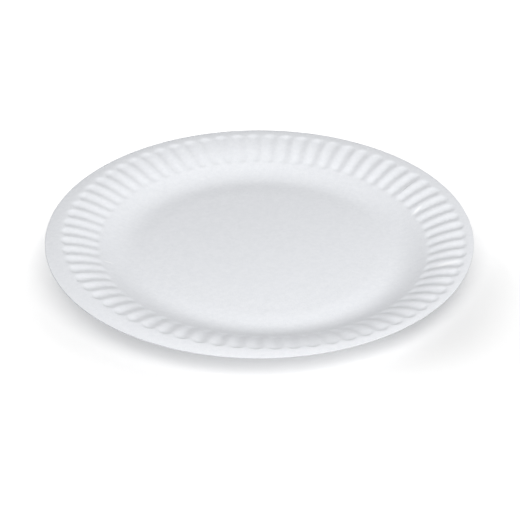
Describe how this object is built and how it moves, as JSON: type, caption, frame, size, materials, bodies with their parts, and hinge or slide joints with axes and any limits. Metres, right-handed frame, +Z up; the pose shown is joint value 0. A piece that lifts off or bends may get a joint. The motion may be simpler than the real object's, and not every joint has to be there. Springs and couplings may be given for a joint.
{
  "type": "paper plate",
  "caption": "Round shallow plate pressed from one sheet of paperboard, with a flat floor, a gently rising wall and a fluted rim that droops at its lip.",
  "frame": {"origin": "centre of the cut edge, on the plane that the plate rests on", "axes": "+Z up out of the dish, square to the resting plane, and the side nearest the camera in the picture faces -Y"},
  "size_m": [0.2286, 0.2286, 0.0123],
  "materials": {
    "paper": "matte, slightly cool white, with a fine uneven grain"
  },
  "bodies": {
    "root": {"plate": "paper"}
  },
  "joints": []
}
